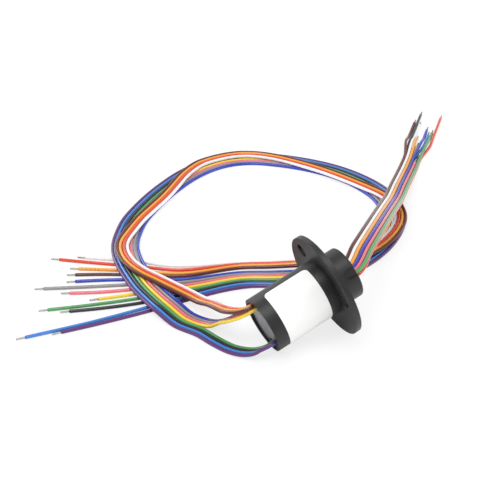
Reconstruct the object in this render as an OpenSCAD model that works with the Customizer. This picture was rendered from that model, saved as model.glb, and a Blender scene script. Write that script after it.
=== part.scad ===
// Capsule slip ring with twelve circuits: a fixed flanged capsule, a rotor that turns in two
// ball bearings, and twelve insulated leads on each side.
// The capsule lies on its flange rim and its rear edge, with the rotor end raised towards +X.

/* [Housing] */
// Outer diameter of the capsule
body_d = 22; // [18:1:30]
// Length of the capsule behind the flange
body_len = 27.4; // [26:0.2:40]
// Wall thickness of the capsule
body_wall = 1.2; // [0.8:0.1:2]
// Diameter of the mounting flange
flange_d = 41.4; // [36:0.2:52]
// Thickness of the mounting flange
flange_t = 2; // [1.5:0.1:4]
// Diameter of the mounting holes
hole_d = 5.3; // [3:0.1:5.5]
// Pitch circle diameter of the mounting holes
hole_pcd = 31; // [29:0.5:42]
// Number of mounting holes
hole_count = 3; // [3:1:6]
// Angle of the first mounting hole from the top
hole_angle = 39; // [0:1:120]

/* [Label] */
// Distance from the flange to the front edge of the label
label_start = 4; // [2:0.5:6]
// Width of the label along the axis
label_w = 18.6; // [12:0.2:20]
// Thickness of the label film
label_t = 0.1; // [0.05:0.05:0.3]
// Angle at which the label begins, counted from the top
label_angle = 7; // [-20:1:30]
// Angle the label wraps round the capsule
label_wrap = 170; // [90:5:300]

/* [Rotor hub] */
// Diameter of the rotor hub
hub_d = 20.4; // [16:0.2:24]
// Distance from the rear face of the flange to the end of the hub
hub_end = 10.9; // [8:0.1:16]
// Running gap between the hub and the flange
hub_gap = 0.3; // [0.3:0.05:1]
// Rounding of the outer edge of the hub
hub_round = 0.8; // [0.3:0.1:1.5]
// Width of the drive slot
slot_w = 3.8; // [2:0.1:3.9]
// Length of the drive slot from the end of the hub
slot_len = 5; // [3:0.1:6]
// Depth of the drive slot
slot_depth = 1.5; // [0.5:0.1:2.5]
// Angle of the drive slot from the top
slot_angle = -55; // [-180:5:180]

/* [Contact track] */
// Number of circuits
circuits = 12; // [6:1:12]
// Width of each contact ring along the axis
ring_w = 0.9; // [0.6:0.05:1.2]
// Width of each insulator between two rings
insulator_w = 0.4; // [0.3:0.05:0.6]
// Diameter of the contact rings
ring_d = 12.4; // [11.4:0.1:13]
// Height of the insulators above the rings
barrier_h = 0.4; // [0.2:0.05:0.6]
// Diameter of the brush wires
brush_d = 0.3; // [0.15:0.05:0.4]

/* [Bearings] */
// Bore of the front bearing
front_bore = 10; // [9:0.5:11]
// Outer diameter of the front bearing
front_od = 15; // [15:0.5:16]
// Width of the front bearing
front_w = 3; // [2.5:0.1:4]
// Number of balls in the front bearing
front_balls = 13; // [8:1:14]
// Bore of the rear bearing
rear_bore = 8; // [7:0.5:8]
// Outer diameter of the rear bearing
rear_od = 12; // [12:0.5:12]
// Width of the rear bearing
rear_w = 2.5; // [2:0.1:3]
// Number of balls in the rear bearing
rear_balls = 12; // [8:1:13]

/* [Leads] */
// Outer diameter of the insulated leads
lead_d = 1.4; // [1:0.1:1.4]
// Distance between neighbouring leads in a ribbon
lead_pitch = 1.5; // [1.5:0.05:1.6]
// Length of the stripped and tinned tip of each lead
tip_len = 3.5; // [2:0.5:6]
// Diameter of the stripped and tinned tip
tip_d = 0.8; // [0.5:0.05:0.9]

/* [Hidden] */
body_r = body_d / 2;
flange_r = flange_d / 2;
hub_r = hub_d / 2;
ring_r = ring_d / 2;
cavity_r = body_r - body_wall;
barrier_r = ring_r + barrier_h;
eps = 0.01;                       // overshoot of a cutter past the face it cuts
fine = 96;                        // more than twelve, so every round is a true circle
fit_gap = 0.02;                   // running clearance of balls, cages and brush wires

// The capsule tilts until its rear edge and its flange rim both touch the surface.
tilt = atan((flange_r - body_r) / body_len);
flange_x = 7.9;                   // puts the middle of the bare part over the origin
flange_z = flange_r * cos(tilt);

// Rear cap, measured along the axis from the rear face of the flange.
cap_recess = 0.8;
cap_wall = 0.8;
cap_rim_len = 4;
cap_rim_t = 0.8;
cap_collar_t = 0.6;
cap_face = -body_len + cap_recess;
cap_inner = cap_face + cap_wall;
cap_collar_len = 3.7;
port_r_in = 6.2;
port_r_out = 9.3;
port_half_angle = 27;
port_angle = 39;
potting_drop = 0.2;
port_face = cap_face + potting_drop;

// Bearings: race thickness and ball size come from the space between bore and outside.
function race_t(bore, od) = 0.3 * (od - bore) / 2;
function ball_pitch_r(bore, od) = (bore + od) / 4;
function ball_r(bore, od) = 0.26 * (od - bore) / 2;
front_back = -0.6;                // front face of the front bearing
front_z = front_back - front_w;
washer_t = 0.7;
rear_z = cap_inner + washer_t;
clip_t = 0.3;
clip_r = rear_bore / 2 + 0.5;
clip_seat_r = rear_bore / 2 - 0.4;
cage_t = 0.45;
cage_w_ratio = 0.72;

// Rotor shaft and contact track.
shaft_r = front_bore / 2;
track_len = circuits * ring_w + (circuits + 1) * insulator_w;
track_z = front_z - track_len;
shoulder_r = shaft_r + 0.6;
shoulder_t = 0.8;
spacer_r = rear_bore / 2 + 0.5;
shaft_bore_r = 3;
shaft_front = 8.4;
potting_recess = 0.5;
boss_r = front_bore / 2 + race_t(front_bore, front_od);
web_lip_r = boss_r + 1.2;
lead_hole_r = 5.4;
lead_face = hub_end - potting_recess;

// Brush blocks and wires.
block_r_in = 7.2;
block_r_out = cavity_r;
block_cut = 3.3;
block_margin = 0.4;
wire_reach = 4.2;
wire_side = ring_r + brush_d / 2 + fit_gap;
wire_step = 0.22;                 // half the distance between the wires of the two blocks

// Leads: every centre line is a list of places on a few round numbers, in mm.
tube_sides = 8;
tip_sides = 6;
sharp_turn = 22;                  // corners sharper than this are cut in two
corner_cut = 0.3;
floor_z = lead_d / 2;             // centre height of a lead that lies on the surface
layer = 1.5 / 1.4 * lead_d;       // height of one lead lying on another
arc_step = 13.5;                  // angle between neighbouring leads in a port
outer_port_r = 8.55;
inner_port_r = 6.95;
lower_port_r = 7.75;
group = 4;
row = 6;

// Course of the two lower ribbons: x, y and the number of layers underneath.
run_low = [
    [-31, 21, 0], [-35.5, 30, 0], [-38, 39, 1], [-39, 48, 1], [-39.5, 57, 1], [-39, 66, 1],
    [-38, 75, 1], [-36, 84, 1], [-32.5, 93, 0.35], [-27.5, 101.5, 0], [-21, 110, 0],
    [-12.5, 118, 0], [-2.5, 126, 0], [8, 133, 0], [19, 139, 0], [31, 143, 0], [43, 143.5, 0],
    [54.5, 139.5, 0], [65, 131, 0], [74, 121, 0], [81, 110, 0], [85.5, 98, 0], [87.5, 86, 0],
    [87, 74.5, 0], [83, 63.5, 0], [76, 54, 0], [67, 46, 0], [56.5, 39.5, 0], [45, 35, 0],
    [33, 33, 0], [21, 34.5, 0], [9, 39.5, 0], [-3, 45.5, 0]];
// Course of the ribbon that lies on top of them.
run_top = [
    [-21.5, 5.3, 10], [-26.5, 10, 8.9], [-26.5, 18, 6.9], [-25.5, 26, 4.5], [-26, 34, 2.5],
    [-28, 42, 2], [-31, 50, 2], [-34, 58, 2], [-37, 66, 2], [-38.5, 75, 2], [-37.5, 84, 2],
    [-33.5, 93, 1.35], [-26, 101.5, 1], [-18, 109, 1], [-9.5, 115.5, 1], [-1, 122, 1],
    [7.5, 129.5, 1], [17, 138, 1], [28, 144.5, 1], [41, 146.5, 1], [53.5, 143, 1], [63, 133, 1],
    [70.5, 121, 1], [76.5, 109, 1], [81, 97, 1], [84.5, 86, 1], [87.5, 74.5, 1], [85.8, 61.5, 1],
    [78.3, 51.5, 1], [68, 43.5, 1], [56, 38, 1], [44, 36.5, 1], [33, 38.5, 1], [24, 43, 1],
    [13, 49, 0.5], [2, 55.5, 0]];
// Descent of the second ribbon from the upper port and of the third from the lower port.
drop_upper = [[-21, 4.1, 8], [-25, 8, 7.2], [-26.5, 14.5, 3.9]];
drop_lower = [[-20, -6, 1], [-24, -2.5, 0.6], [-28.5, 4.5, 0], [-31.5, 12, 0]];
// Course of the rotor leads, lower row.
run_rotor = [
    [20.5, 0, 15.5], [29, 8, 15.5], [38.5, 17, 14.5], [49.5, 28, 12.5], [60.5, 39.5, 9.9],
    [71.5, 51, 7.2], [82.5, 62.5, 4.5], [94, 75, 2.5], [106, 87.5, 0.75], [114.4, 96, 0]];

// One lead per colour.  Stator: free end on the surface.  Rotor: row place and tip distance.
stator_top = ["brown", "orange", "red", "white"];
stator_upper = ["yellow", "pink", "grey", "blue"];
stator_lower = ["violet", "light_blue", "black", "green"];
function free_end(c) =
    c == "violet" ? [[-24, 42], [-44, 42], [-64, 43], [-83, 44.8]] :
    c == "light_blue" ? [[-24, 44], [-44, 44.6], [-68, 45.4], [-96, 48]] :
    c == "black" ? [[-24, 46], [-44, 48.5], [-60, 52.5], [-75, 57.5]] :
    c == "green" ? [[-24, 48], [-44, 52], [-62, 56.4], [-82, 62.3]] :
    c == "yellow" ? [[-24, 50], [-42, 55], [-52, 57.5], [-62, 60]] :
    c == "pink" ? [[-24, 52], [-42, 58.5], [-56, 63.5], [-70, 70]] :
    c == "grey" ? [[-23, 54.2], [-41, 62], [-60, 70], [-78, 78]] :
    c == "blue" ? [[-23, 56.5], [-40, 65.5], [-52, 71.5], [-65, 77]] :
    c == "brown" ? [[-22, 58.8], [-38, 68.5], [-50, 75.5], [-63, 82]] :
    c == "orange" ? [[-22, 61], [-37, 71.5], [-48, 78.5], [-60, 86]] :
    c == "red" ? [[-21, 63.5], [-35, 74.5], [-49, 85], [-64, 97]] :
    [[-21, 66], [-33, 77.5], [-43, 85], [-54, 93]];

// The rotor leads fan out past the end of the run: place across, and distance of the tip.
rotor_over = ["brown", "white", "orange", "blue", "pink", "green"];
rotor_under = ["black", "grey", "yellow", "light_blue", "violet", "red"];
fan_dir = [0.703, 0.711];
fan_right = [0.711, -0.703];
fan_start = [106, 87.5];
fan_open = 22;
fan_spread = 38;
fan_flat = 47;
tip_at = [["brown", 67, -6], ["black", 78, -4.5], ["white", 65, -3], ["grey", 34, -2.25],
    ["orange", 48, -1.5], ["yellow", 40, 0], ["blue", 60, 1.5], ["pink", 19, 2.25],
    ["light_blue", 54, 3], ["violet", 27, 2.25], ["green", 57, 4.5], ["red", 76, 6]];
function tip_row(c) = [for (t = tip_at) if (t[0] == c) t][0];

// Turns a direction list into ribbon lanes.  A lane keeps its distance at every corner.
function unit(v) = v / norm(v);
function flat2(p) = [p[0], p[1]];
function heading(p, i) = unit(flat2(p[i + 1]) - flat2(p[i]));
function mitre(p, i) =
    let (last = len(p) - 1,
         u = heading(p, max(i - 1, 0)),
         v = heading(p, min(i, last - 1)))
    (u + v) / (1 + u * v);
function lane_point(p, i, off) =
    let (t = mitre(p, i))
    [p[i][0] + t[1] * off, p[i][1] - t[0] * off, floor_z + layer * p[i][2]];
function lane(p, off, first) = [for (i = [first : len(p) - 1]) lane_point(p, i, off)];
function lane_off(j, n) = (j - (n - 1) / 2) * lead_pitch;

// Places on the capsule axis in the common frame.
axis_dir = [cos(tilt), 0, sin(tilt)];
up_dir = [-sin(tilt), 0, cos(tilt)];
function on_part(s, up, side) =
    [flange_x, 0, flange_z] + s * axis_dir + up * up_dir + [0, side, 0];
function port_start(r, angle, straight) =
    let (p = on_part(port_face, r * cos(angle), r * sin(angle)))
    [p, p - straight * axis_dir];
function raise(points) = [for (q = points) [q[0], q[1], floor_z]];
ribbon_gap = 3.05 / 1.5 * lead_pitch;
function low_lane(off) = lane(run_low, off, 0);
function angle_off(j) = (j - (group - 1) / 2) * arc_step;
function top_path(j) = concat(
    port_start(outer_port_r, port_angle + angle_off(j), 4 + 0.7 * (1.5 - j)),
    lane(run_top, lane_off(j, group), 1),
    raise(free_end(stator_top[j])));
function upper_path(j) = concat(
    port_start(inner_port_r, port_angle + angle_off(j), 4 + 0.7 * (1.5 - j)),
    lane(drop_upper, lane_off(j, group), 1),
    low_lane(ribbon_gap + lane_off(j, group)),
    raise(free_end(stator_upper[j])));
function lower_path(j) = concat(
    port_start(lower_port_r, port_angle + 180 - angle_off(j), 4 + 0.5 * (1.5 - j)),
    lane(drop_lower, lane_off(j, group), 1),
    low_lane(lane_off(j, group) - ribbon_gap),
    raise(free_end(stator_lower[j])));

function fan_point(s, side, z) =
    let (q = fan_start + s * fan_dir + side * fan_right)
    [q[0], q[1], floor_z + layer * z];
function rotor_path(j, over) =
    let (off = lane_off(j, row),
         c = over == 1 ? rotor_over[j] : rotor_under[j],
         t = tip_row(c),
         last = len(run_rotor) - 1,
         start = on_part(lead_face, (over - 0.5) * layer, -off),
         hump = [for (p = run_rotor) [p[0], p[1], p[2] + over]])
    concat(
        [start, start + (3.2 + off * tan(22)) * axis_dir],
        lane(hump, off, 1),
        [for (s = [fan_open, fan_spread, fan_flat]) if (s < t[1] - 3)
            fan_point(s, lookup(s, [[fan_open, off], [fan_spread, t[2]]]),
                over * lookup(s, [[fan_spread, 1], [fan_flat, 0]]))],
        [fan_point(t[1], lookup(t[1], [[fan_open, off], [fan_spread, t[2]]]),
            over * lookup(t[1], [[fan_spread, 1], [fan_flat, 0]]))]);

// Corners sharper than sharp_turn are cut, so a tube never folds.
function turn_at(p, i) =
    i < 1 || i > len(p) - 2 ? 0 : acos(min(1, unit(p[i] - p[i - 1]) * unit(p[i + 1] - p[i])));
function eased(p) = [for (i = [0 : len(p) - 1])
    each (turn_at(p, i) > sharp_turn
        ? [p[i] + corner_cut * (p[i - 1] - p[i]), p[i] + corner_cut * (p[i + 1] - p[i])]
        : [p[i]])];
function shortened(p, d) =
    let (n = len(p) - 1)
    [for (i = [0 : n]) i < n ? p[i] : p[n] - d * unit(p[n] - p[n - 1])];

// Sweeps a polygon along a list of places.  The rings stay upright, so they never twist.
function tangent(p, i) =
    i == 0 ? unit(p[1] - p[0]) :
    i == len(p) - 1 ? unit(p[i] - p[i - 1]) :
    unit(unit(p[i] - p[i - 1]) + unit(p[i + 1] - p[i]));
function ring_at(p, i, r, sides) =
    let (t = tangent(p, i),
         side = unit([t[1], -t[0], 0]),
         up = cross(side, t))
    [for (k = [0 : sides - 1])
        p[i] + r * (cos(360 * (k + 0.5) / sides) * side + sin(360 * (k + 0.5) / sides) * up)];
module tube(p, r, sides) {
    n = len(p);
    skin = [for (i = [0 : n - 2], k = [0 : sides - 1])
        let (m = (k + 1) % sides)
        [i * sides + k, i * sides + m, (i + 1) * sides + m, (i + 1) * sides + k]];
    first_cap = [for (k = [sides - 1 : -1 : 0]) k];
    last_cap = [for (k = [0 : sides - 1]) (n - 1) * sides + k];
    polyhedron(
        points = [for (i = [0 : n - 1]) each ring_at(p, i, r, sides)],
        faces = concat(skin, [first_cap, last_cap]),
        convexity = 10);
}
module lead(path) {
    p = eased(path);
    n = len(p) - 1;
    short = shortened(p, tip_len);
    tube(short, lead_d / 2, tube_sides);
    tube([short[n], p[n]], tip_d / 2, tip_sides);
}

// Local frame of the capsule: origin on the axis at the rear face of the flange, Z to the rotor.
module lay() {
    translate([flange_x, 0, flange_z]) rotate([0, 90 - tilt, 0]) children();
}
// A direction at an angle from the top, seen from the rear, towards +Y.
module at_angle(angle) {
    rotate([0, 0, 180 - angle]) children();
}
module disc(r, z0, z1) {
    translate([0, 0, z0]) cylinder(r = r, h = z1 - z0, $fn = fine);
}
module sleeve(r_out, r_in, z0, z1) {
    difference() {
        disc(r_out, z0, z1);
        disc(r_in, z0 - 1, z1 + 1);
    }
}

module stator_housing() {
    color("#1B1B1C") lay() difference() {
        union() {
            disc(body_r, -body_len, flange_t / 2);
            disc(flange_r, 0, flange_t);
        }
        disc(cavity_r, -body_len - 1, front_z);
        disc(front_od / 2, front_z - 1, front_back);
        disc(web_lip_r, front_back - 1, flange_t + 1);
        for (i = [0 : hole_count - 1])
            at_angle(hole_angle + i * 360 / hole_count)
                translate([hole_pcd / 2, 0, -1])
                    cylinder(d = hole_d, h = flange_t + 2, $fn = fine);
    }
}

module rear_cap() {
    color("#8E9094") lay() difference() {
        union() {
            disc(cavity_r, cap_face, cap_inner);
            sleeve(cavity_r, cavity_r - cap_rim_t, cap_inner - eps, cap_face + cap_rim_len);
            sleeve(rear_od / 2 + cap_collar_t, rear_od / 2, cap_inner - eps,
                cap_inner + cap_collar_len);
        }
        for (side = [0, 180]) lead_port(port_angle + side, cap_face - 1, cap_inner + eps);
    }
}
// Kidney-shaped opening in the end wall, with round ends.
module lead_port(angle, z0, z1) {
    mid_r = (port_r_in + port_r_out) / 2;
    at_angle(angle) {
        rotate([0, 0, -port_half_angle])
            rotate_extrude(angle = 2 * port_half_angle, $fn = fine)
                translate([port_r_in, z0]) square([port_r_out - port_r_in, z1 - z0]);
        for (end = [-1, 1])
            rotate([0, 0, end * port_half_angle])
                translate([mid_r, 0, z0])
                    cylinder(d = port_r_out - port_r_in, h = z1 - z0, $fn = fine);
    }
}
module lead_potting() {
    color("#26262A") lay()
        for (side = [0, 180]) lead_port(port_angle + side, port_face, cap_inner);
}

module label() {
    color("#F4F4F2") lay() at_angle(label_angle)
        rotate_extrude(angle = label_wrap, $fn = fine)
            translate([body_r, -label_start - label_w]) square([label_t, label_w]);
}

module front_bearing_outer_ring() {
    color("#C9CCD0") lay() bearing_ring(front_bore, front_od, front_w, front_z, true);
}
module front_bearing_inner_ring() {
    color("#C9CCD0") lay() bearing_ring(front_bore, front_od, front_w, front_z, false);
}
module rear_bearing_outer_ring() {
    color("#C9CCD0") lay() bearing_ring(rear_bore, rear_od, rear_w, rear_z, true);
}
module rear_bearing_inner_ring() {
    color("#C9CCD0") lay() bearing_ring(rear_bore, rear_od, rear_w, rear_z, false);
}
// Bearing ring with a round groove that clears the balls by fit_gap.
module bearing_ring(bore, od, w, z, outer) {
    t = race_t(bore, od);
    r_in = outer ? od / 2 - t : bore / 2;
    r_out = outer ? od / 2 : bore / 2 + t;
    rotate_extrude($fn = fine) difference() {
        translate([r_in, z]) square([r_out - r_in, w]);
        translate([ball_pitch_r(bore, od), z + w / 2])
            circle(r = ball_r(bore, od) + fit_gap, $fn = fine);
    }
}
module cage(bore, od, w, z, count) {
    r = ball_pitch_r(bore, od);
    h = w * cage_w_ratio;
    difference() {
        sleeve(r + cage_t / 2, r - cage_t / 2, z + (w - h) / 2, z + (w + h) / 2);
        for (i = [0 : count - 1])
            rotate([0, 0, i * 360 / count]) translate([r - 1, 0, z + w / 2]) rotate([0, 90, 0])
                cylinder(r = ball_r(bore, od) + fit_gap, h = 2, $fn = fine);
    }
}
module balls(bore, od, w, z, count) {
    for (i = [0 : count - 1])
        rotate([0, 0, i * 360 / count]) translate([ball_pitch_r(bore, od), 0, z + w / 2])
            sphere(r = ball_r(bore, od), $fn = fine);
}
module front_bearing_cage() {
    color("#B08D4A") lay() cage(front_bore, front_od, front_w, front_z, front_balls);
}
module front_bearing_balls() {
    color("#D6D8DC") lay() balls(front_bore, front_od, front_w, front_z, front_balls);
}
module rear_bearing_cage() {
    color("#B08D4A") lay() cage(rear_bore, rear_od, rear_w, rear_z, rear_balls);
}
module rear_bearing_balls() {
    color("#D6D8DC") lay() balls(rear_bore, rear_od, rear_w, rear_z, rear_balls);
}
module preload_washer() {
    color("#9A9DA2") lay()
        sleeve(rear_od / 2, rear_od / 2 - race_t(rear_bore, rear_od), cap_inner, rear_z);
}

// A brush block fills an arc of the cavity and carries two wires for every contact ring.
module brush_block(angle) {
    block_z = track_z + block_margin;
    block_len = track_len - 2 * block_margin;
    at_angle(angle) intersection() {
        sleeve(block_r_out, block_r_in, block_z, block_z + block_len);
        translate([block_cut, -body_r, block_z - 1]) cube([body_r, body_d, block_len + 2]);
    }
}
module brush_wires(angle, shift) {
    at_angle(angle)
        for (i = [0 : circuits - 1], side = [-1, 1])
            translate([block_cut - wire_reach, side * wire_side, ring_mid(i) + shift])
                rotate([0, 90, 0]) cylinder(d = brush_d, h = wire_reach, $fn = fine);
}
function ring_mid(i) = track_z + insulator_w + ring_w / 2 + i * (ring_w + insulator_w);
module upper_brush_block() {
    color("#2C4A3A") lay() brush_block(port_angle);
}
module lower_brush_block() {
    color("#2C4A3A") lay() brush_block(port_angle + 180);
}
module upper_brush_wires() {
    color("#D8B04A") lay() brush_wires(port_angle, wire_step);
}
module lower_brush_wires() {
    color("#D8B04A") lay() brush_wires(port_angle + 180, -wire_step);
}

module rotor_hub() {
    color("#1B1B1C") lay() difference() {
        union() {
            rotate_extrude($fn = fine) union() {
                translate([0, flange_t + hub_gap])
                    square([hub_r, hub_end - hub_round - flange_t - hub_gap]);
                translate([0, flange_t + hub_gap])
                    square([hub_r - hub_round, hub_end - flange_t - hub_gap]);
                translate([hub_r - hub_round, hub_end - hub_round])
                    circle(r = hub_round, $fn = fine);
            }
            disc(boss_r, front_back, flange_t + hub_gap + eps);
        }
        disc(shaft_r, front_back - 1, shaft_front + eps);
        disc(lead_hole_r, shaft_front, hub_end + 1);
        at_angle(slot_angle) drive_slot();
    }
}
// Shallow slot in the side of the hub, open at its end, with a round inner end.
module drive_slot() {
    translate([hub_r - slot_depth, 0, 0]) {
        translate([0, -slot_w / 2, hub_end - slot_len + slot_w / 2])
            cube([slot_depth + 1, slot_w, slot_len]);
        translate([0, 0, hub_end - slot_len + slot_w / 2]) rotate([0, 90, 0])
            cylinder(d = slot_w, h = slot_depth + 1, $fn = fine);
    }
}
module rotor_shaft() {
    color("#A9ACB0") lay() difference() {
        union() {
            disc(shaft_r, track_z - shoulder_t + eps, shaft_front);
            disc(shoulder_r, track_z - shoulder_t, track_z);
            disc(spacer_r, rear_z + rear_w, track_z - shoulder_t + eps);
            disc(rear_bore / 2, rear_z - clip_t - eps, rear_z + rear_w + eps);
            disc(clip_seat_r, cap_inner + 0.1, rear_z);
        }
        disc(shaft_bore_r, cap_inner - 1, shaft_front + 1);
        sleeve(rear_bore / 2 + 1, clip_seat_r, rear_z - clip_t - 1, rear_z);
    }
}
module retaining_clip() {
    color("#6E7176") lay() difference() {
        sleeve(clip_r, clip_seat_r, rear_z - clip_t, rear_z);
        at_angle(90) translate([0, -1.2, rear_z - clip_t - 1]) cube([body_r, 2.4, clip_t + 2]);
    }
}
module contact_rings() {
    color("#D9A93E") lay()
        for (i = [0 : circuits - 1])
            sleeve(ring_r, shaft_r, ring_mid(i) - ring_w / 2, ring_mid(i) + ring_w / 2);
}
module ring_insulators() {
    color("#35507A") lay()
        for (i = [0 : circuits])
            translate([0, 0, i * (ring_w + insulator_w)])
                sleeve(barrier_r, shaft_r, track_z, track_z + insulator_w);
}
module rotor_potting() {
    color("#26262A") lay() disc(lead_hole_r, shaft_front, lead_face);
}

module stator_lead_brown() { color("#5A1A14") lead(top_path(0)); }
module stator_lead_orange() { color("#F0A02A") lead(top_path(1)); }
module stator_lead_red() { color("#D9401F") lead(top_path(2)); }
module stator_lead_white() { color("#EDEDED") lead(top_path(3)); }
module stator_lead_yellow() { color("#F5D23C") lead(upper_path(0)); }
module stator_lead_pink() { color("#E5707C") lead(upper_path(1)); }
module stator_lead_grey() { color("#8C8C8C") lead(upper_path(2)); }
module stator_lead_blue() { color("#2536B0") lead(upper_path(3)); }
module stator_lead_violet() { color("#5B2A6E") lead(lower_path(0)); }
module stator_lead_light_blue() { color("#3C7FD0") lead(lower_path(1)); }
module stator_lead_black() { color("#121212") lead(lower_path(2)); }
module stator_lead_green() { color("#4E9A5A") lead(lower_path(3)); }
module rotor_lead_brown() { color("#5A1A14") lead(rotor_path(0, 1)); }
module rotor_lead_white() { color("#EDEDED") lead(rotor_path(1, 1)); }
module rotor_lead_orange() { color("#F0A02A") lead(rotor_path(2, 1)); }
module rotor_lead_blue() { color("#2536B0") lead(rotor_path(3, 1)); }
module rotor_lead_pink() { color("#E5707C") lead(rotor_path(4, 1)); }
module rotor_lead_green() { color("#4E9A5A") lead(rotor_path(5, 1)); }
module rotor_lead_black() { color("#121212") lead(rotor_path(0, 0)); }
module rotor_lead_grey() { color("#8C8C8C") lead(rotor_path(1, 0)); }
module rotor_lead_yellow() { color("#F5D23C") lead(rotor_path(2, 0)); }
module rotor_lead_light_blue() { color("#3C7FD0") lead(rotor_path(3, 0)); }
module rotor_lead_violet() { color("#5B2A6E") lead(rotor_path(4, 0)); }
module rotor_lead_red() { color("#D9401F") lead(rotor_path(5, 0)); }

stator_housing();
rear_cap();
lead_potting();
label();
front_bearing_outer_ring();
front_bearing_inner_ring();
rear_bearing_outer_ring();
rear_bearing_inner_ring();
front_bearing_cage();
front_bearing_balls();
rear_bearing_cage();
rear_bearing_balls();
preload_washer();
upper_brush_block();
lower_brush_block();
upper_brush_wires();
lower_brush_wires();
rotor_hub();
rotor_shaft();
retaining_clip();
contact_rings();
ring_insulators();
rotor_potting();
stator_lead_brown();
stator_lead_orange();
stator_lead_red();
stator_lead_white();
stator_lead_yellow();
stator_lead_pink();
stator_lead_grey();
stator_lead_blue();
stator_lead_violet();
stator_lead_light_blue();
stator_lead_black();
stator_lead_green();
rotor_lead_brown();
rotor_lead_orange();
rotor_lead_red();
rotor_lead_white();
rotor_lead_yellow();
rotor_lead_pink();
rotor_lead_grey();
rotor_lead_blue();
rotor_lead_violet();
rotor_lead_light_blue();
rotor_lead_black();
rotor_lead_green();
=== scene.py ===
import math

import bmesh
import bpy
from mathutils import Matrix, Vector


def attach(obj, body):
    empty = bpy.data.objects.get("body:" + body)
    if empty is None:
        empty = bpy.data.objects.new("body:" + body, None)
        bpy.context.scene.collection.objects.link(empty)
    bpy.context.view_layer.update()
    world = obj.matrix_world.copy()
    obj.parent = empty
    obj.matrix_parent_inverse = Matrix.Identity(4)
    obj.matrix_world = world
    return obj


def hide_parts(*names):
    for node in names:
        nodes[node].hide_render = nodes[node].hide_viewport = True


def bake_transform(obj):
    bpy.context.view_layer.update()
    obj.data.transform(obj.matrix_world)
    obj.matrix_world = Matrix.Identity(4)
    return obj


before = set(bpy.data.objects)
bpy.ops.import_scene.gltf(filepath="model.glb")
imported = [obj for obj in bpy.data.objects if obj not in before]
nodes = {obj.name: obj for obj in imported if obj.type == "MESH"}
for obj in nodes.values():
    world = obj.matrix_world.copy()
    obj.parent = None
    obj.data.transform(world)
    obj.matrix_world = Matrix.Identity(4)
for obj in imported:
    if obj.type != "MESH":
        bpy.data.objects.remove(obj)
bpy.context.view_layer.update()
MM = 0.001

# ---------------------------------------------------------------- camera
CAMERA_PLACE = (-194.3 * MM, -316.7 * MM, 255.8 * MM)
VIEW_RISE = math.radians(30.5)
VIEW_TURN = math.radians(28.4)
LENS = 86.4

camera_data = bpy.data.cameras.new("camera")
camera_data.lens = LENS
camera_data.sensor_width = 36
camera_data.clip_start = 0.01
camera = bpy.data.objects.new("camera", camera_data)
bpy.context.scene.collection.objects.link(camera)
camera.location = CAMERA_PLACE
camera.rotation_euler = (math.pi / 2 - VIEW_RISE, 0, -VIEW_TURN)
bpy.context.scene.camera = camera

# ---------------------------------------------------------------- sizes, in mm, as in the CAD
BODY_R = 11.0
FLANGE_R = 20.7
BODY_LEN = 27.4
TILT = math.atan((FLANGE_R - BODY_R) / BODY_LEN)
FLANGE_X = 7.9
FLANGE_Z = FLANGE_R * math.cos(TILT)
PORT_ANGLE = 39
PORT_FACE = -26.4
LEAD_FACE = 10.4

AXIS = Vector((math.cos(TILT), 0, math.sin(TILT)))
UP = Vector((-math.sin(TILT), 0, math.cos(TILT)))
SIDE = Vector((0, 1, 0))
FLANGE_MID = Vector((FLANGE_X, 0, FLANGE_Z))


def on_part(s, up, side):
    """A place on the capsule, in mm: distance along the axis, upwards and sideways."""
    return FLANGE_MID + AXIS * s + UP * up + SIDE * side


# ---------------------------------------------------------------- materials
def linear(text):
    """A linear colour from sRGB hex digits."""
    out = []
    for i in (0, 2, 4):
        c = int(text[i:i + 2], 16) / 255
        out.append(c / 12.92 if c <= 0.04045 else ((c + 0.055) / 1.055) ** 2.4)
    return (*out, 1.0)


def material(name, colour, roughness, metallic=0.0, coat=0.0, grain=None, tint=None):
    """A principled material.  grain is (scale per metre, bump height in metres)."""
    m = bpy.data.materials.new(name)
    m.use_nodes = True
    tree = m.node_tree
    shader = tree.nodes["Principled BSDF"]
    shader.inputs["Base Color"].default_value = linear(colour)
    shader.inputs["Roughness"].default_value = roughness
    shader.inputs["Metallic"].default_value = metallic
    shader.inputs["Coat Weight"].default_value = coat
    shader.inputs["Coat Roughness"].default_value = 0.08
    m.diffuse_color = linear(colour)
    if grain or tint:
        where = tree.nodes.new("ShaderNodeTexCoord")
        noise = tree.nodes.new("ShaderNodeTexNoise")
        tree.links.new(where.outputs["Object"], noise.inputs["Vector"])
        noise.inputs["Detail"].default_value = 4
        noise.inputs["Scale"].default_value = (grain or (400, 0))[0]
    if grain and grain[1]:
        bump = tree.nodes.new("ShaderNodeBump")
        bump.inputs["Distance"].default_value = grain[1]
        bump.inputs["Strength"].default_value = 0.6
        tree.links.new(noise.outputs["Fac"], bump.inputs["Height"])
        tree.links.new(bump.outputs["Normal"], shader.inputs["Normal"])
    if tint:
        mix = tree.nodes.new("ShaderNodeMix")
        mix.data_type = "RGBA"
        mix.inputs[6].default_value = linear(colour)
        mix.inputs[7].default_value = linear(tint)
        tree.links.new(noise.outputs["Fac"], mix.inputs[0])
        tree.links.new(mix.outputs[2], shader.inputs["Base Color"])
    return m


# Glass-filled nylon of the housing and the hub: black, satin, with a fine moulded grain
housing_plastic = material("housing_plastic", "141415", 0.42, grain=(2500, 0.00001))
# Turned aluminium of the rear cap
cap_metal = material("cap_metal", "8E9094", 0.34, metallic=0.9)
# Epoxy resin in the lead ports and in the hub: dark, smooth
potting_resin = material("potting_resin", "1E1E22", 0.22)
# Polyester label film: white, smooth
label_film = material("label_film", "F4F4F2", 0.38)
# Ground bearing steel of the rings
bearing_steel = material("bearing_steel", "C9CCD0", 0.25, metallic=1.0)
# Polished steel of the balls
ball_steel = material("ball_steel", "D6D8DC", 0.08, metallic=1.0)
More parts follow.
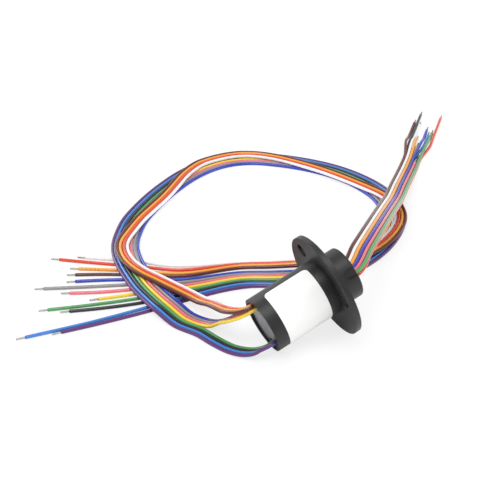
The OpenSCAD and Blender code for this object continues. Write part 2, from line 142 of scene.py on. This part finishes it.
# Pressed brass of the cages
cage_brass = material("cage_brass", "B08D4A", 0.35, metallic=1.0)
# Spring steel of the washer and the clip
spring_steel = material("spring_steel", "9A9DA2", 0.3, metallic=1.0)
# Glass-epoxy board of the brush blocks
brush_board = material("brush_board", "2C4A3A", 0.5)
# Gold alloy of the brush wires
brush_gold = material("brush_gold", "D8B04A", 0.2, metallic=1.0)
# Turned aluminium of the rotor shaft
shaft_aluminium = material("shaft_aluminium", "A9ACB0", 0.32, metallic=1.0)
# Gold plating of the contact rings
ring_gold = material("ring_gold", "D9A93E", 0.18, metallic=1.0)
# Moulded plastic of the insulators
insulator_plastic = material("insulator_plastic", "35507A", 0.45)
# Tinned copper of the stripped lead tips
tinned_copper = material("tinned_copper", "B9B8B4", 0.32, metallic=1.0)

# Glossy insulation of the leads, one material for each colour
LEAD_COLOURS = {
    "brown": "5A1A14", "orange": "F0A02A", "red": "D9401F", "white": "EDEDED",
    "yellow": "F5D23C", "pink": "E5707C", "grey": "8C8C8C", "blue": "2536B0",
    "violet": "5B2A6E", "light_blue": "3C7FD0", "black": "121212", "green": "4E9A5A",
}
insulation = {
    name: material("lead_" + name, text, 0.24, coat=0.35)
    for name, text in LEAD_COLOURS.items()
}

NODE_MATERIALS = {
    "stator_housing": housing_plastic, "rotor_hub": housing_plastic,
    "rear_cap": cap_metal, "lead_potting": potting_resin, "rotor_potting": potting_resin,
    "label": label_film,
    "front_bearing_outer_ring": bearing_steel, "front_bearing_inner_ring": bearing_steel,
    "rear_bearing_outer_ring": bearing_steel, "rear_bearing_inner_ring": bearing_steel,
    "front_bearing_balls": ball_steel, "rear_bearing_balls": ball_steel,
    "front_bearing_cage": cage_brass, "rear_bearing_cage": cage_brass,
    "preload_washer": spring_steel, "retaining_clip": spring_steel,
    "upper_brush_block": brush_board, "lower_brush_block": brush_board,
    "upper_brush_wires": brush_gold, "lower_brush_wires": brush_gold,
    "rotor_shaft": shaft_aluminium, "contact_rings": ring_gold,
    "ring_insulators": insulator_plastic,
}
for node, finish in NODE_MATERIALS.items():
    for slot in nodes[node].material_slots:
        slot.material = finish

# ---------------------------------------------------------------- leads
LEAD_D = 1.4
PITCH = 1.5
TIP_LEN = 3.5
TIP_D = 0.8
FLOOR_Z = LEAD_D / 2
LAYER = 1.5
ARC_STEP = 13.5
OUTER_PORT_R = 8.55
INNER_PORT_R = 6.95
LOWER_PORT_R = 7.75
GROUP = 4
ROW = 6
SHARP_TURN = 22
CORNER_CUT = 0.3
RIBBON_GAP = 3.05
SMOOTH_STEPS = 5
SHORT_STEPS = 3
SHORT_PIECE = 4
PORT_STRAIGHT = 4
UPPER_STAGGER = 0.7
LOWER_STAGGER = 0.5
HUB_STRAIGHT = 3.2
HUB_TURN = math.radians(22)
WIRE_SIDES = 14
STRANDS = 6
STRAND_SIDES = 6
STRAND_RINGS = 9
STRAND_TWIST = 34                   # degrees from one ring of points to the next
STRAND_SPREAD = 1.98                # strand centres from the middle one, in strand radii

# Course of the two lower ribbons: x, y and the number of layers underneath
RUN_LOW = [
    (-31, 21, 0), (-35.5, 30, 0), (-38, 39, 1), (-39, 48, 1), (-39.5, 57, 1), (-39, 66, 1),
    (-38, 75, 1), (-36, 84, 1), (-32.5, 93, 0.35), (-27.5, 101.5, 0), (-21, 110, 0),
    (-12.5, 118, 0), (-2.5, 126, 0), (8, 133, 0), (19, 139, 0), (31, 143, 0), (43, 143.5, 0),
    (54.5, 139.5, 0), (65, 131, 0), (74, 121, 0), (81, 110, 0), (85.5, 98, 0), (87.5, 86, 0),
    (87, 74.5, 0), (83, 63.5, 0), (76, 54, 0), (67, 46, 0), (56.5, 39.5, 0), (45, 35, 0),
    (33, 33, 0), (21, 34.5, 0), (9, 39.5, 0), (-3, 45.5, 0),
]
# Course of the ribbon that lies on top of them
RUN_TOP = [
    (-21.5, 5.3, 10), (-26.5, 10, 8.9), (-26.5, 18, 6.9), (-25.5, 26, 4.5), (-26, 34, 2.5),
    (-28, 42, 2), (-31, 50, 2), (-34, 58, 2), (-37, 66, 2), (-38.5, 75, 2), (-37.5, 84, 2),
    (-33.5, 93, 1.35), (-26, 101.5, 1), (-18, 109, 1), (-9.5, 115.5, 1), (-1, 122, 1),
    (7.5, 129.5, 1), (17, 138, 1), (28, 144.5, 1), (41, 146.5, 1), (53.5, 143, 1),
    (63, 133, 1), (70.5, 121, 1), (76.5, 109, 1), (81, 97, 1), (84.5, 86, 1), (87.5, 74.5, 1),
    (85.8, 61.5, 1), (78.3, 51.5, 1), (68, 43.5, 1), (56, 38, 1), (44, 36.5, 1),
    (33, 38.5, 1), (24, 43, 1), (13, 49, 0.5), (2, 55.5, 0),
]
# Descent of the second ribbon from the upper port and of the third from the lower port
DROP_UPPER = [(-21, 4.1, 8), (-25, 8, 7.2), (-26.5, 14.5, 3.9)]
DROP_LOWER = [(-20, -6, 1), (-24, -2.5, 0.6), (-28.5, 4.5, 0), (-31.5, 12, 0)]
# Course of the rotor leads, lower row
RUN_ROTOR = [
    (20.5, 0, 15.5), (29, 8, 15.5), (38.5, 17, 14.5), (49.5, 28, 12.5), (60.5, 39.5, 9.9),
    (71.5, 51, 7.2), (82.5, 62.5, 4.5), (94, 75, 2.5), (106, 87.5, 0.75), (114.4, 96, 0),
]
STATOR_TOP = ("brown", "orange", "red", "white")
STATOR_UPPER = ("yellow", "pink", "grey", "blue")
STATOR_LOWER = ("violet", "light_blue", "black", "green")
# Free ends of the stator leads on the surface
FREE_ENDS = {
    "violet": [(-24, 42), (-44, 42), (-64, 43), (-83, 44.8)],
    "light_blue": [(-24, 44), (-44, 44.6), (-68, 45.4), (-96, 48)],
    "black": [(-24, 46), (-44, 48.5), (-60, 52.5), (-75, 57.5)],
    "green": [(-24, 48), (-44, 52), (-62, 56.4), (-82, 62.3)],
    "yellow": [(-24, 50), (-42, 55), (-52, 57.5), (-62, 60)],
    "pink": [(-24, 52), (-42, 58.5), (-56, 63.5), (-70, 70)],
    "grey": [(-23, 54.2), (-41, 62), (-60, 70), (-78, 78)],
    "blue": [(-23, 56.5), (-40, 65.5), (-52, 71.5), (-65, 77)],
    "brown": [(-22, 58.8), (-38, 68.5), (-50, 75.5), (-63, 82)],
    "orange": [(-22, 61), (-37, 71.5), (-48, 78.5), (-60, 86)],
    "red": [(-21, 63.5), (-35, 74.5), (-49, 85), (-64, 97)],
    "white": [(-21, 66), (-33, 77.5), (-43, 85), (-54, 93)],
}
# Rotor leads: distance of the tip past the start of the fan, and its place across
ROTOR_OVER = ("brown", "white", "orange", "blue", "pink", "green")
ROTOR_UNDER = ("black", "grey", "yellow", "light_blue", "violet", "red")
FAN_DIR = Vector((0.703, 0.711))
FAN_RIGHT = Vector((0.711, -0.703))
FAN_START = Vector((106, 87.5))
FAN_OPEN = 22
FAN_SPREAD = 38
FAN_FLAT = 47
TIP_AT = {
    "brown": (67, -6), "black": (78, -4.5), "white": (65, -3), "grey": (34, -2.25),
    "orange": (48, -1.5), "yellow": (40, 0), "blue": (60, 1.5), "pink": (19, 2.25),
    "light_blue": (54, 3), "violet": (27, 2.25), "green": (57, 4.5), "red": (76, 6),
}


def heading(run, i):
    return (Vector(run[i + 1][:2]) - Vector(run[i][:2])).normalized()


def lane(run, off, first):
    """A line beside the run that keeps its distance at every corner."""
    out = []
    for i in range(first, len(run)):
        u = heading(run, max(i - 1, 0))
        v = heading(run, min(i, len(run) - 2))
        t = (u + v) / (1 + u.dot(v))
        x, y, n = run[i]
        out.append(Vector((x + t.y * off, y - t.x * off, FLOOR_Z + LAYER * n)))
    return out


def lane_off(j, n):
    return (j - (n - 1) / 2) * PITCH


def port_start(r, angle, straight):
    a = math.radians(angle)
    p = on_part(PORT_FACE, r * math.cos(a), r * math.sin(a))
    return [p, p - AXIS * straight]


def on_floor(points):
    return [Vector((x, y, FLOOR_Z)) for x, y in points]


def angle_off(j):
    return (j - (GROUP - 1) / 2) * ARC_STEP


def stator_paths():
    """The course of every stator lead, by colour, in mm."""
    out = {}
    for j in range(GROUP):
        off = lane_off(j, GROUP)
        back = (GROUP - 1) / 2 - j
        out[STATOR_TOP[j]] = (
            port_start(OUTER_PORT_R, PORT_ANGLE + angle_off(j),
                       PORT_STRAIGHT + UPPER_STAGGER * back)
            + lane(RUN_TOP, off, 1) + on_floor(FREE_ENDS[STATOR_TOP[j]]))
        out[STATOR_UPPER[j]] = (
            port_start(INNER_PORT_R, PORT_ANGLE + angle_off(j),
                       PORT_STRAIGHT + UPPER_STAGGER * back)
            + lane(DROP_UPPER, off, 1) + lane(RUN_LOW, RIBBON_GAP + off, 0)
            + on_floor(FREE_ENDS[STATOR_UPPER[j]]))
        out[STATOR_LOWER[j]] = (
            port_start(LOWER_PORT_R, PORT_ANGLE + 180 - angle_off(j),
                       PORT_STRAIGHT + LOWER_STAGGER * back)
            + lane(DROP_LOWER, off, 1) + lane(RUN_LOW, off - RIBBON_GAP, 0)
            + on_floor(FREE_ENDS[STATOR_LOWER[j]]))
    return out


def between(s, s0, s1, a, b):
    t = min(1, max(0, (s - s0) / (s1 - s0)))
    return a + (b - a) * t


def fan_point(s, side, over):
    q = FAN_START + FAN_DIR * s + FAN_RIGHT * side
    return Vector((q.x, q.y, FLOOR_Z + LAYER * over))


def rotor_path(j, over):
    """The course of one rotor lead, in mm."""
    off = lane_off(j, ROW)
    tip, across = TIP_AT[ROTOR_OVER[j] if over else ROTOR_UNDER[j]]
    start = on_part(LEAD_FACE, (over - 0.5) * LAYER, -off)
    run = [(x, y, n + over) for x, y, n in RUN_ROTOR]
    stops = [s for s in (FAN_OPEN, FAN_SPREAD, FAN_FLAT) if s < tip - 3] + [tip]
    return ([start, start + AXIS * (HUB_STRAIGHT + off * math.tan(HUB_TURN))]
            + lane(run, off, 1)
            + [fan_point(s, between(s, FAN_OPEN, FAN_SPREAD, off, across),
                         over * between(s, FAN_SPREAD, FAN_FLAT, 1, 0)) for s in stops])


def eased(p):
    """Cuts the corners that are sharper than SHARP_TURN."""
    out = []
    for i, q in enumerate(p):
        if 0 < i < len(p) - 1 and (q - p[i - 1]).angle(p[i + 1] - q) > math.radians(SHARP_TURN):
            out += [q + (p[i - 1] - q) * CORNER_CUT, q + (p[i + 1] - q) * CORNER_CUT]
        else:
            out.append(q)
    return out


def smooth(p):
    """A smooth curve through the points, which stays near the straight pieces between them."""
    ends = [p[0] * 2 - p[1]] + p + [p[-1] * 2 - p[-2]]
    out = []
    for i in range(1, len(ends) - 2):
        a, b, c, d = ends[i - 1:i + 3]
        ta, tb, tc = ((q - r).length ** 0.5 for q, r in ((b, a), (c, b), (d, c)))
        m1 = (c - b) + ((b - a) / ta - (c - a) / (ta + tb)) * tb
        m2 = (c - b) + ((d - c) / tc - (d - b) / (tb + tc)) * tb
        steps = SHORT_STEPS if (c - b).length < SHORT_PIECE else SMOOTH_STEPS
        for k in range(steps):
            t = k / steps
            out.append(b * (2 * t ** 3 - 3 * t ** 2 + 1) + m1 * (t ** 3 - 2 * t ** 2 + t)
                       + c * (3 * t ** 2 - 2 * t ** 3) + m2 * (t ** 3 - t ** 2))
    return out + [ends[-2]]


def shortened(p, cut):
    """The path without its last stretch, and the direction in which it ends."""
    p = list(p)
    while (p[-1] - p[-2]).length < cut:
        cut -= (p[-1] - p[-2]).length
        p.pop()
    way = (p[-1] - p[-2]).normalized()
    p[-1] = p[-1] - way * cut
    return p, way


def ring_frame(way):
    side = Vector((way.y, -way.x, 0)).normalized()
    return side, side.cross(way)


def tube(bm, p, r, sides, closed=True):
    """Adds a round tube along the points to a mesh, with flat ends."""
    rings = []
    for i, q in enumerate(p):
        way = ((p[min(i + 1, len(p) - 1)] - q).normalized()
               + (q - p[max(i - 1, 0)]).normalized()).normalized()
        side, up = ring_frame(way)
        rings.append([bm.verts.new(q + (side * math.cos(a) + up * math.sin(a)) * r)
                      for a in (2 * math.pi * k / sides for k in range(sides))])
    for a, b in zip(rings, rings[1:]):
        for k in range(sides):
            m = (k + 1) % sides
            bm.faces.new((a[k], a[m], b[m], b[k])).smooth = True
    if closed:
        bm.faces.new(rings[0][::-1])
        bm.faces.new(rings[-1])


def finish_mesh(name, bm, finish):
    bmesh.ops.recalc_face_normals(bm, faces=bm.faces)
    data = bpy.data.meshes.new(name)
    bm.to_mesh(data)
    bm.free()
    data.materials.append(finish)
    piece = bpy.data.objects.new(name, data)
    bpy.context.scene.collection.objects.link(piece)
    return piece


def strand_tip(name, start, way):
    """The stripped end of a lead: tinned strands, twisted together."""
    bm = bmesh.new()
    side, up = ring_frame(way)
    strand_r = TIP_D / 6 * MM
    centre = [start + way * (TIP_LEN * MM * k / (STRAND_RINGS - 1)) for k in range(STRAND_RINGS)]
    tube(bm, centre, strand_r, STRAND_SIDES)
    for n in range(STRANDS):
        line = []
        for k, q in enumerate(centre):
            a = math.radians(360 / STRANDS * n + STRAND_TWIST * k)
            line.append(q + (side * math.cos(a) + up * math.sin(a)) * strand_r * STRAND_SPREAD)
        tube(bm, line, strand_r, STRAND_SIDES)
    return finish_mesh(name, bm, tinned_copper)


def lead_tip(name, node, start, way):
    tip = strand_tip(name, start, way)
    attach(tip, "capsule")
    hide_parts(node)
    node.split("_lead_")[1].join(("lead_", ""))
    return tip


def stator_lead(colour, path):
    """A lead of the fixed side: one smooth curve with a round section, and its bare tip."""
    whole = [q * MM for q in smooth(eased(path))]
    line, way = shortened(whole, TIP_LEN * MM)
    curve = bpy.data.curves.new("stator_wire_" + colour, "CURVE")
    curve.dimensions = "3D"
    curve.bevel_depth = LEAD_D / 2 * MM
    curve.bevel_resolution = 4
    curve.use_fill_caps = True
    spline = curve.splines.new("POLY")
    spline.points.add(len(line) - 1)
    for point, q in zip(spline.points, line):
        point.co = (*q, 1)
    spline.use_smooth = True
    curve.materials.append(insulation[colour])
    piece = bpy.data.objects.new("stator_wire_" + colour, curve)
    bpy.context.scene.collection.objects.link(piece)
    node = "stator_lead_" + colour
    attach(piece, "capsule")
    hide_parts(node)
    tip = lead_tip("stator_tip_" + colour, node, line[-1], way)


def rotor_lead(colour, path):
    """A lead of the turning side: a mesh tube that twists between the hub and its rest."""
    whole = [q * MM for q in smooth(eased(path))]
    line, way = shortened(whole, TIP_LEN * MM)
    bm = bmesh.new()
    tube(bm, line, LEAD_D / 2 * MM, WIRE_SIDES)
    piece = finish_mesh("rotor_wire_" + colour, bm, insulation[colour])
    node = "rotor_lead_" + colour
    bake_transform(piece)
    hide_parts(node)
    tip = lead_tip("rotor_tip_" + colour, node, line[-1], way)


for colour, path in stator_paths().items():
    stator_lead(colour, path)
for j in range(ROW):
    rotor_lead(ROTOR_OVER[j], rotor_path(j, 1))
    rotor_lead(ROTOR_UNDER[j], rotor_path(j, 0))

# ---------------------------------------------------------------- label
LABEL_START = 4.0
LABEL_W = 18.6
LABEL_T = 0.1
LABEL_ANGLE = 7
LABEL_WRAP = 170
LABEL_CORNER = 1.9
CORNER_STEPS = 8
LABEL_STEP = 0.6


def label_outline():
    """Places round the edge of the label: distance along the axis and arc length, in mm."""
    arc = math.radians(LABEL_WRAP) * BODY_R
    out = []
    for cx, cy, turn in ((LABEL_CORNER, LABEL_CORNER, 180),
                         (LABEL_W - LABEL_CORNER, LABEL_CORNER, 270),
                         (LABEL_W - LABEL_CORNER, arc - LABEL_CORNER, 0),
                         (LABEL_CORNER, arc - LABEL_CORNER, 90)):
        for k in range(CORNER_STEPS + 1):
            a = math.radians(turn + 90 * k / CORNER_STEPS)
            out.append((cx + LABEL_CORNER * math.cos(a), cy + LABEL_CORNER * math.sin(a)))
    return out


def wrap(s, arc, r):
    """A place on the label, from its distance along the axis and its arc length."""
    a = math.radians(LABEL_ANGLE) - arc / BODY_R
    return on_part(-LABEL_START - s, r * math.cos(a), r * math.sin(a)) * MM


def label_piece():
    """The printed label: a film with round corners, wrapped round the capsule."""
    bm = bmesh.new()
    bm.faces.new([bm.verts.new((x, y, 0)) for x, y in label_outline()])
    arc = math.radians(LABEL_WRAP) * BODY_R
    cuts = int(arc / LABEL_STEP)
    for k in range(1, cuts):
        y = arc * k / cuts
        bmesh.ops.bisect_plane(bm, geom=bm.verts[:] + bm.edges[:] + bm.faces[:],
                               plane_co=(0, y, 0), plane_no=(0, 1, 0))
    flat = bmesh.ops.extrude_face_region(bm, geom=bm.faces[:])
    top = {v for v in flat["geom"] if isinstance(v, bmesh.types.BMVert)}
    for v in bm.verts:
        v.co = wrap(v.co.x, v.co.y, BODY_R + (LABEL_T if v in top else 0.0))
    piece = finish_mesh("label_wrap", bm, label_film)
    for face in piece.data.polygons:
        face.use_smooth = True
    edge = piece.modifiers.new("edges", "WEIGHTED_NORMAL")
    edge.keep_sharp = False
    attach(piece, "capsule")
    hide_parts("label")


label_piece()

# ---------------------------------------------------------------- floor, light and background
FLOOR_SIZE = 6.0
FLOOR_GLOW = 0.75                   # share of plain white that the camera sees in the floor


def stage_floor():
    """A plain white floor that keeps a faint contact shadow."""
    bm = bmesh.new()
    bmesh.ops.create_grid(bm, x_segments=1, y_segments=1, size=FLOOR_SIZE / 2)
    m = bpy.data.materials.new("floor")
    m.use_nodes = True
    tree = m.node_tree
    shader = tree.nodes["Principled BSDF"]
    shader.inputs["Base Color"].default_value = linear("FFFFFF")
    shader.inputs["Roughness"].default_value = 0.9
    shader.inputs["Specular IOR Level"].default_value = 0.0
    glow = tree.nodes.new("ShaderNodeEmission")
    glow.inputs["Strength"].default_value = 1.0
    seen = tree.nodes.new("ShaderNodeLightPath")
    share = tree.nodes.new("ShaderNodeMath")
    share.operation = "MULTIPLY"
    share.inputs[1].default_value = FLOOR_GLOW
    mix = tree.nodes.new("ShaderNodeMixShader")
    tree.links.new(seen.outputs["Is Camera Ray"], share.inputs[0])
    tree.links.new(share.outputs[0], mix.inputs[0])
    tree.links.new(shader.outputs[0], mix.inputs[1])
    tree.links.new(glow.outputs[0], mix.inputs[2])
    tree.links.new(mix.outputs[0], tree.nodes["Material Output"].inputs["Surface"])
    floor = finish_mesh("floor", bm, m)


stage_floor()


def soft_light(name, place, aim, size, power):
    data = bpy.data.lights.new(name, "AREA")
    data.size = size
    data.energy = power
    light = bpy.data.objects.new(name, data)
    bpy.context.scene.collection.objects.link(light)
    way = Vector(aim) - Vector(place)
    turn = way.to_track_quat("-Z", "Y").to_matrix().to_4x4()
    light.matrix_world = Matrix.Translation(Vector(place)) @ turn


AIM = (0.02, 0.05, 0.0)
soft_light("key_light", (-0.25, -0.15, 0.85), AIM, 0.5, 3.2)
soft_light("fill_light", (0.7, -0.5, 0.5), AIM, 0.6, 1.6)
soft_light("back_light", (-0.2, 0.9, 0.5), AIM, 0.5, 2.2)

world = bpy.data.worlds.new("studio")
bpy.context.scene.world = world
world.use_nodes = True
world.node_tree.nodes["Background"].inputs["Color"].default_value = linear("FFFFFF")
world.node_tree.nodes["Background"].inputs["Strength"].default_value = 0.75
bpy.context.scene.view_settings.view_transform = "Standard"
